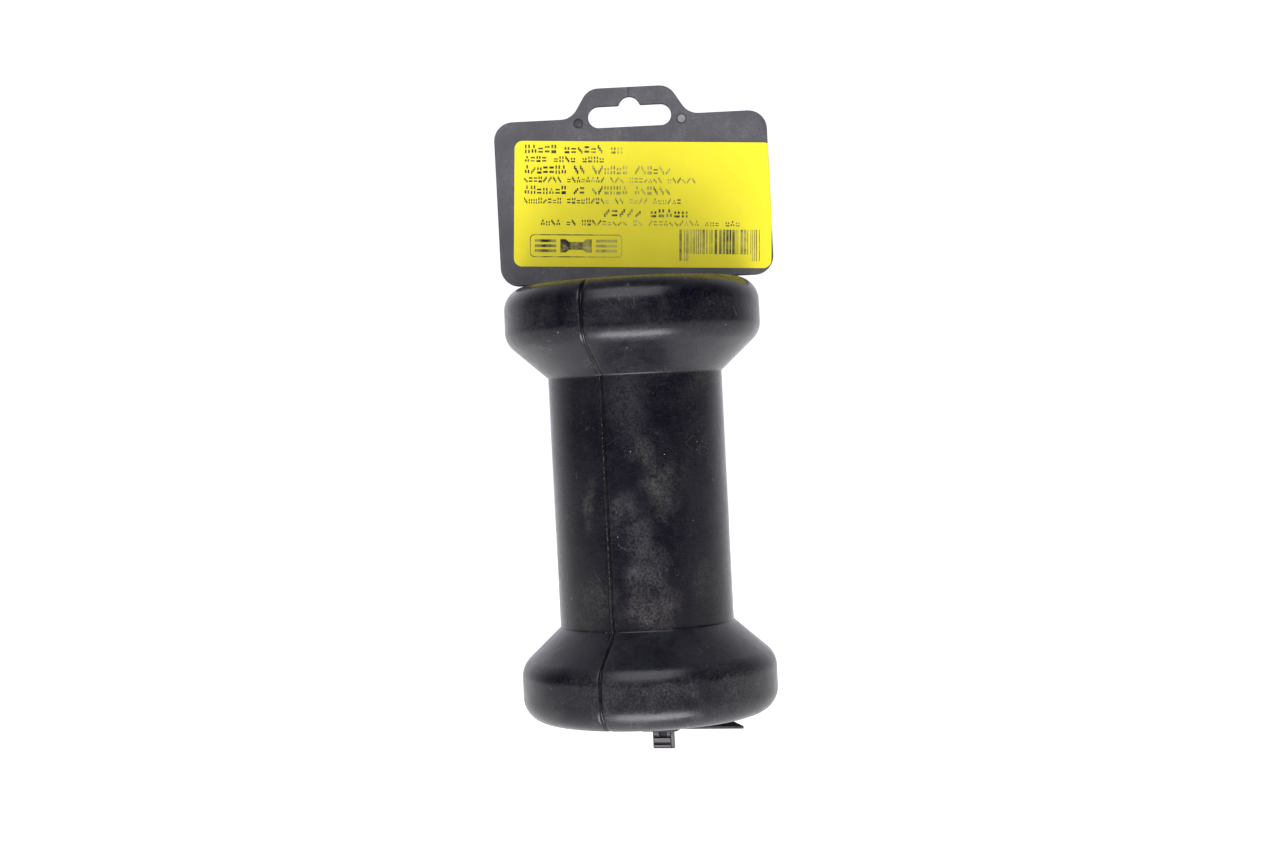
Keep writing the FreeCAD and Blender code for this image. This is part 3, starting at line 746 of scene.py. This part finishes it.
def rubber_material():
    """Moulded black rubber: navy-black, dusty in patches, with specks, streaks and scuffs."""
    g = Graph("moulded_rubber")
    cloud = g.noise(38.0, 6.0, 0.62)
    fine = g.noise(420.0, 4.0, 0.62)
    speckle = g.noise(1500.0, 3.0, 0.75)
    ragged = g.noise(150.0, 6.0, 0.65, distortion=0.4)
    streaks = g.noise(620.0, 3.0, 0.6, g.scaled((1.0, 1.0, 0.05)))

    greyer = g.product(g.soft_range(cloud, 0.40, 0.72),
                       g.soft_range(streaks, 0.3, 0.7, 0.25, 1.0))
    colour = g.blend(greyer, RUBBER_DARK, RUBBER_GREY)
    colour, dusty = waist_marks(g, colour, speckle, ragged)

    # fine pale grains all over, thicker in some clouds than in others
    grains = g.product(g.soft_range(speckle, 0.50, 0.68),
                       g.soft_range(ragged, 0.35, 0.65, 0.15, 0.75), 0.18)
    colour = g.blend(grains, colour, DUST_GREY)
    film = flange_film(g, speckle)
    colour = g.blend(film, colour, DUST_FILM)

    # dust settled on the lower cone and on the rims' upper edges
    settled = g.product(g.soft_range(g.facing_z(), 0.25, 0.70),
                        g.soft_range(ragged, 0.30, 0.65, 0.25, 0.60))
    colour = g.blend(settled, colour, DUST_SETTLED)
    colour = g.blend(hairline_scratches(g), colour, SCRATCH)
    specks = g.maths("MAXIMUM", g.specks(160.0, 0.036, 0.45), g.specks(420.0, 0.070, 0.06))
    colour = g.blend(g.product(specks, 0.75), colour, SPECK)
    seam = g.attribute("seam")
    # painted shade in the parting lines' grooves
    colour = g.blend(g.soft_range(seam, -0.10, -0.50), colour, SEAM_GROOVE_SHADE)
    colour = g.blend(g.soft_range(seam, 0.20, 0.80, 0.0, 0.80), colour, SEAM_FLASH)
    g.feed(g.shader.inputs["Base Color"], colour)

    rough = g.soft_range(cloud, 0.3, 0.7, 0.23, 0.29)
    rough = g.maths("ADD", rough, g.product(g.maths("ADD", dusty, film), 0.30))
    rough = g.maths("ADD", rough, g.soft_range(fine, 0.3, 0.7, -0.02, 0.04))
    g.feed(g.shader.inputs["Roughness"], rough)
    g.shader.inputs["Specular IOR Level"].default_value = RUBBER_SPECULAR
    g.feed(g.shader.inputs["Normal"], rubber_relief(g, fine, streaks, specks))
    return g.material


# ---------------------------------------------------------------- plastics' material

HANGER_DARK = (0.046, 0.045, 0.050, 1.0)
HANGER_LIGHT = (0.091, 0.090, 0.096, 1.0)
# painted shade for the hanger card's walls that face up or down
HANGER_WALL_SHADE = (0.008, 0.008, 0.009, 1.0)
RETAINER_DARK = (0.026, 0.026, 0.029, 1.0)
RETAINER_LIGHT = (0.052, 0.052, 0.057, 1.0)
# painted shade for the retainer's walls that face up or down
RETAINER_WALL_SHADE = (0.030, 0.030, 0.034, 1.0)
PLASTIC_DUST = (0.26, 0.26, 0.25, 1.0)
PLASTIC_SPECULAR = 0.34

WELD_HALO = (0.085, 0.085, 0.090, 1.0)
WELD_LINE = (0.020, 0.020, 0.022, 1.0)
# painted shade for a tiny pit that is not in the mesh
PIT_SHADE = (0.004, 0.004, 0.004, 1.0)
# painted shade and light for the ejector-pin marks, and their painted highlight
PIN_RIM_SHADE = (0.012, 0.012, 0.013, 1.0)
PIN_PAINTED_HIGHLIGHT = (0.10, 0.10, 0.105, 1.0)
RECESSED_PIN_SHADE = (0.030, 0.030, 0.032, 1.0)
RAISED_PIN_LIT = (0.17, 0.17, 0.175, 1.0)
WORN_TIP = (0.150, 0.139, 0.141, 1.0)
# painted shade for the strap's tooth grooves
GROOVE_SHADE = (0.006, 0.006, 0.007, 1.0)

PIN_X_MM = 15.1
PIN_Z_MM = -7.15
STRAP_TURN = math.radians(16)


def weld_line(g, colour, relief):
    """(colour, relief) with the thin wavy line above the notch, where two flows met."""
    wavy = g.product(g.maths("SUBTRACT", g.noise(500.0, 2.0), 0.5), 0.0012)
    beside = g.maths("ABSOLUTE", g.maths("ADD", g.axis("X"), wavy))
    line_mask = g.product(g.soft_range(beside, 0.00045, 0.0001),
                          g.soft_range(g.axis("Z"), -0.0002, 0.0006))
    halo = g.patch((0.0, CARD_FRONT_Y_MM, 1.6), (5.5, 3.0, 2.6))
    swirl = g.soft_range(g.noise(320.0, 3.0, 0.6, distortion=2.5), 0.42, 0.62)
    colour = g.blend(g.product(halo, swirl, 0.55), colour, WELD_HALO)
    colour = g.blend(g.product(line_mask, 0.5), colour, WELD_LINE)
    return colour, g.bump(line_mask, -0.10, 0.8, relief)


def pin_marks(g, colour):
    """Colour with the two round ejector-pin marks beside the slot, their relief painted in: a
    painted shade rim round each, painted shade in the recessed one, painted light on the raised
    one and a painted highlight on each.
    """
    # the recessed mark gets painted shade, the raised one painted light
    for side, tint in ((-1, RECESSED_PIN_SHADE), (1, RAISED_PIN_LIT)):
        x = side * PIN_X_MM
        # dark ring round each mark: painted shade
        rim = g.patch((x, CARD_FRONT_Y_MM, PIN_Z_MM), (1.75, 3.0, 1.75), inner=0.72)
        colour = g.blend(g.product(rim, 0.8), colour, PIN_RIM_SHADE)
        disc = g.patch((x, CARD_FRONT_Y_MM, PIN_Z_MM), (1.32, 3.0, 1.32), inner=0.70)
        colour = g.blend(disc, colour, tint)
        # small painted highlight on each mark
        pin_highlight = g.patch((x + 0.35, CARD_FRONT_Y_MM, PIN_Z_MM - 0.45), (0.75, 3.0, 0.55))
        colour = g.blend(g.product(pin_highlight, 0.5), colour, PIN_PAINTED_HIGHLIGHT)
    return colour


def strap_wear_and_groove_shade(g, colour):
    """Colour with the strap's worn tip and painted shade in its tooth grooves."""
    # how far back a point lies from the strap's axis, square to its turned front face
    depth = g.maths("ADD", g.product(g.axis("X"), math.sin(STRAP_TURN)),
                    g.product(g.axis("Y"), math.cos(STRAP_TURN)))
    sunk = g.soft_range(depth, -0.00063, -0.00045)
    on_strap = g.soft_range(g.axis("Z"), -0.060, -0.062)
    worn_tip = g.soft_range(g.axis("Z"), -0.1862, -0.1878)
    colour = g.blend(g.product(worn_tip, 0.6), colour, WORN_TIP)
    # painted shade in the sunk tooth grooves
    return g.blend(g.product(sunk, on_strap, 0.9), colour, GROOVE_SHADE)


def plastic_material(name, dark, light, wall_shade_tone, wall_shade_share, is_hanger):
    """Satin moulded plastic with a fine spark texture, flow clouds, light scuffs and painted shade
    on walls that face up or down.
    """
    g = Graph(name)
    cloud = g.noise(60.0, 5.0, 0.6)
    grain = g.noise(1700.0, 2.0, 0.5)
    brushed = g.noise(600.0, 3.0, 0.6, g.scaled((1.0, 1.0, 0.25)))
    lighter = g.product(g.soft_range(cloud, 0.32, 0.68),
                        g.soft_range(grain, 0.35, 0.65, 0.35, 1.0),
                        g.soft_range(brushed, 0.3, 0.7, 0.6, 1.0))
    colour = g.blend(lighter, dark, light)
    colour = g.blend(g.product(g.specks(170.0, 0.03, 0.14), 0.6), colour, PLASTIC_DUST)
    relief = g.bump(grain, 0.03, 0.5)
    relief = g.bump(brushed, 0.02, 0.4, relief)
    if is_hanger:
        colour, relief = weld_line(g, colour, relief)
        # dark spot of painted shade for a tiny pit
        pit_shade = g.patch((14.0, CARD_FRONT_Y_MM, -52.6), (0.45, 1.0, 0.30))
        colour = g.blend(pit_shade, colour, PIT_SHADE)
        colour = pin_marks(g, colour)
        colour = strap_wear_and_groove_shade(g, colour)

    # walls that face up or down get painted shade in their colour, and are matter
    wall = g.soft_range(g.maths("ABSOLUTE", g.facing_z()), 0.25, 0.75)
    colour = g.blend(g.product(wall, wall_shade_share), colour, wall_shade_tone)
    rough = g.maths("ADD", g.soft_range(cloud, 0.3, 0.7, 0.38, 0.50), g.product(wall, 0.35))
    g.feed(g.shader.inputs["Base Color"], colour)
    g.feed(g.shader.inputs["Roughness"], rough)
    g.feed(g.shader.inputs["Normal"], relief)
    g.shader.inputs["Specular IOR Level"].default_value = PLASTIC_SPECULAR
    return g.material


# ---------------------------------------------------------------- label's and print's material

LABEL_DEEP = (0.610, 0.537, 0.008, 1.0)
LABEL_BRIGHT = (0.650, 0.573, 0.012, 1.0)
LABEL_SMUDGE = (0.53, 0.48, 0.04, 1.0)
LABEL_SPECULAR = 0.35
INK_BLACK = (0.010, 0.010, 0.008, 1.0)
INK_WORN = (0.46, 0.43, 0.08, 1.0)
INK_SPECULAR = 0.30
MOST_WORN = 0.86


def label_material():
    """Coated yellow paper, faintly uneven."""
    g = Graph("yellow_label_stock")
    cloud = g.noise(90.0, 4.0, 0.6)
    fibre = g.noise(1400.0, 3.0, 0.6)
    brighter = g.product(g.soft_range(cloud, 0.3, 0.7),
                         g.soft_range(fibre, 0.25, 0.75, 0.5, 1.0))
    colour = g.blend(brighter, LABEL_DEEP, LABEL_BRIGHT)
    smudge = g.soft_range(g.noise(160.0, 5.0, 0.65), 0.60, 0.80)
    colour = g.blend(g.product(smudge, 0.35), colour, LABEL_SMUDGE)
    g.feed(g.shader.inputs["Base Color"], colour)
    g.feed(g.shader.inputs["Roughness"], g.soft_range(fibre, 0.3, 0.7, 0.42, 0.52))
    g.feed(g.shader.inputs["Normal"], g.bump(fibre, 0.012, 0.5))
    g.shader.inputs["Specular IOR Level"].default_value = LABEL_SPECULAR
    return g.material


def ink_material():
    """Thermal print that is dark at the left and worn thin towards the right."""
    g = Graph("worn_black_print")
    across = g.axis("X")
    height = g.axis("Z")
    columns = g.noise(330.0, 3.0, 0.6, g.scaled((1.0, 0.0, 0.03)))
    worn = g.soft_range(across, -0.020, -0.002)
    again = g.soft_range(across, 0.006, 0.020, 0.0, 0.25)
    fade = g.maths("SUBTRACT", g.product(worn, 0.62), again)
    patchy = g.soft_range(g.noise(420.0, 4.0, 0.65), 0.40, 0.68, -0.15, 0.30)
    fade = g.maths("ADD", fade, patchy)
    fade = g.maths("ADD", fade, g.soft_range(columns, 0.35, 0.65, -0.25, 0.25))
    # the emblem in the lower left is rubbed thinner than the lines above it
    rubbed = g.product(g.soft_range(height, -0.0400, -0.0415),
                       g.soft_range(across, 0.004, -0.002))
    fade = g.maths("ADD", fade, g.product(rubbed, 0.30))
    # the large line kept its ink better than the rest
    bold = g.product(g.soft_range(height, -0.0364, -0.0360),
                     g.soft_range(height, -0.0324, -0.0328))
    fade = g.maths("SUBTRACT", fade, g.product(bold, 0.32))
    clamp = g.add("ShaderNodeClamp")
    g.feed(clamp.inputs["Value"], fade)
    clamp.inputs["Min"].default_value = 0.0
    clamp.inputs["Max"].default_value = MOST_WORN
    colour = g.blend(clamp.outputs[0], INK_BLACK, INK_WORN)
    g.feed(g.shader.inputs["Base Color"], colour)
    g.feed(g.shader.inputs["Roughness"], g.soft_range(columns, 0.3, 0.7, 0.45, 0.6))
    g.shader.inputs["Specular IOR Level"].default_value = INK_SPECULAR
    return g.material


# ---------------------------------------------------------------- build the visual model

roller = make_roller()
assign(roller, rubber_material())
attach(roller, "roller")
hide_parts("rubber_roller")

label = make_label()
assign(label, label_material())
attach(label, "hanger")
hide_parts("product_label")

label_print = make_print()
assign(label_print, ink_material())
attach(label_print, "hanger")

hanger_plastic = plastic_material("hanger_satin_plastic", HANGER_DARK, HANGER_LIGHT,
                                  HANGER_WALL_SHADE, wall_shade_share=0.85, is_hanger=True)
retainer_plastic = plastic_material("retainer_satin_plastic", RETAINER_DARK, RETAINER_LIGHT,
                                    RETAINER_WALL_SHADE, wall_shade_share=0.50, is_hanger=False)
assign(nodes["hanger_card"], hanger_plastic)
assign(nodes["retainer_bar"], retainer_plastic)
assign(nodes["retainer_pawl"], retainer_plastic)


# ---------------------------------------------------------------- stage, light and camera

FLOOR_GREY = (0.86, 0.86, 0.86, 1.0)
FLOOR_WHITE = (0.88, 0.88, 0.88, 1.0)
FLOOR_GLOW = (1.0, 1.0, 1.0, 1.0)
FLOOR_GLOW_STRENGTH = 1.05

WORLD_COLOUR = (0.96, 0.955, 1.03, 1.0)
WORLD_IN_FRONT = 0.03
WORLD_BEHIND = 1.25
WORLD_SEEN_BY_CAMERA = 1.1

# name, sideways part of the direction to the light, its angle above the horizon in degrees,
# distance, width and height in metres, and power in watts
SOFTBOXES = (
    ("softbox_low", 0.0, -50, 0.85, 0.86, 0.38, 12.0),
    ("softbox_high", -0.05, 44, 0.95, 0.95, 0.70, 7.7),
    ("softbox_fill", -0.25, 20, 1.3, 1.4, 0.6, 2.8),
)
SOFTBOX_COLOUR = (0.985, 0.975, 1.03)


def make_floor():
    """Wide pale floor well below the hanging object, ending not far in front of it; in metres."""
    half_width = 14.0
    front = -4.5
    back = 14.0
    level = -0.95
    cells = 8
    points = [((2.0 * i / cells - 1.0) * half_width / MM,
               (front + (back - front) * k / cells) / MM,
               level / MM)
              for k in range(cells + 1) for i in range(cells + 1)]
    faces = []
    for k in range(cells):
        for i in range(cells):
            a = k * (cells + 1) + i
            faces.append((a, a + 1, a + cells + 2, a + cells + 1))
    floor = add_mesh("studio_floor", points, faces)
    g = Graph("pale_floor")
    tone = g.soft_range(g.noise(1.5, 3.0), 0.3, 0.7)
    g.feed(g.shader.inputs["Base Color"], g.blend(tone, FLOOR_GREY, FLOOR_WHITE))
    g.shader.inputs["Roughness"].default_value = 0.9
    g.shader.inputs["Emission Color"].default_value = FLOOR_GLOW
    g.shader.inputs["Emission Strength"].default_value = FLOOR_GLOW_STRENGTH
    assign(floor, g.material)


def make_world():
    """White backdrop all round, though the light from the printed face's side is dim."""
    world = bpy.data.worlds.new("white_studio")
    bpy.context.scene.world = world
    world.use_nodes = True
    tree = world.node_tree
    background = tree.nodes["Background"]
    place = tree.nodes.new("ShaderNodeTexCoord")
    split = tree.nodes.new("ShaderNodeSeparateXYZ")
    ramp = tree.nodes.new("ShaderNodeMapRange")
    ramp.interpolation_type = "SMOOTHSTEP"
    ramp.inputs["From Min"].default_value = -0.05
    ramp.inputs["From Max"].default_value = 0.93
    ramp.inputs["To Min"].default_value = WORLD_IN_FRONT
    ramp.inputs["To Max"].default_value = WORLD_BEHIND
    tree.links.new(place.outputs["Generated"], split.inputs[0])
    tree.links.new(split.outputs["Y"], ramp.inputs["Value"])
    path = tree.nodes.new("ShaderNodeLightPath")
    strength = tree.nodes.new("ShaderNodeMix")
    strength.data_type = "FLOAT"
    strength.inputs["B"].default_value = WORLD_SEEN_BY_CAMERA
    tree.links.new(path.outputs["Is Camera Ray"], strength.inputs["Factor"])
    tree.links.new(ramp.outputs["Result"], strength.inputs["A"])
    tree.links.new(strength.outputs["Result"], background.inputs["Strength"])
    background.inputs["Color"].default_value = WORLD_COLOUR


def add_softbox(name, target, direction, distance, width, height, watts):
    """Area light facing a target point from a direction."""
    data = bpy.data.lights.new(name, "AREA")
    data.shape = "RECTANGLE"
    data.size = width
    data.size_y = height
    data.energy = watts
    data.color = SOFTBOX_COLOUR
    light = bpy.data.objects.new(name, data)
    away = Vector(direction).normalized()
    light.location = Vector(target) + away * distance
    light.rotation_euler = away.to_track_quat("Z", "Y").to_euler()
    light.visible_camera = False
    bpy.context.scene.collection.objects.link(light)


def make_lights():
    """Softboxes above and, stronger, below on the front side, and a weak one that fills in."""
    middle = (AXIS_X_MM * MM, 0.0, CENTRE_Z_MM * MM)
    for name, sideways, elevation, distance, width, height, watts in SOFTBOXES:
        angle = math.radians(elevation)
        direction = (sideways, -math.cos(angle), math.sin(angle))
        add_softbox(name, middle, direction, distance, width, height, watts)


def make_camera():
    """Camera square to the roller's axis but for a slight roll and an even slighter pitch."""
    roll = math.radians(2.91)
    pitch = math.radians(-0.48)
    lens_mm = 58.34385
    sensor_mm = 36.0
    beside_mm = 2.10
    ahead_mm = 602.66
    above_mm = -22.27
    right = Vector((math.cos(roll), math.sin(pitch) * math.sin(roll),
                    -math.cos(pitch) * math.sin(roll)))
    forward = Vector((0.0, math.cos(pitch), math.sin(pitch)))
    up = Vector((math.sin(roll), -math.sin(pitch) * math.cos(roll),
                 math.cos(pitch) * math.cos(roll)))
    middle = Vector((AXIS_X_MM, 0.0, CENTRE_Z_MM))
    place = middle - right * beside_mm - forward * ahead_mm - up * above_mm
    data = bpy.data.cameras.new("view_camera")
    data.sensor_fit = "HORIZONTAL"
    data.sensor_width = sensor_mm
    data.lens = lens_mm
    data.clip_start = 0.02
    data.clip_end = 60.0
    camera = bpy.data.objects.new("view_camera", data)
    turn = Matrix((right, up, -forward)).transposed().to_4x4()
    camera.matrix_world = Matrix.Translation(place * MM) @ turn
    bpy.context.scene.collection.objects.link(camera)
    bpy.context.scene.camera = camera


make_floor()
make_world()
make_lights()
make_camera()
bpy.context.scene.view_settings.view_transform = "Standard"
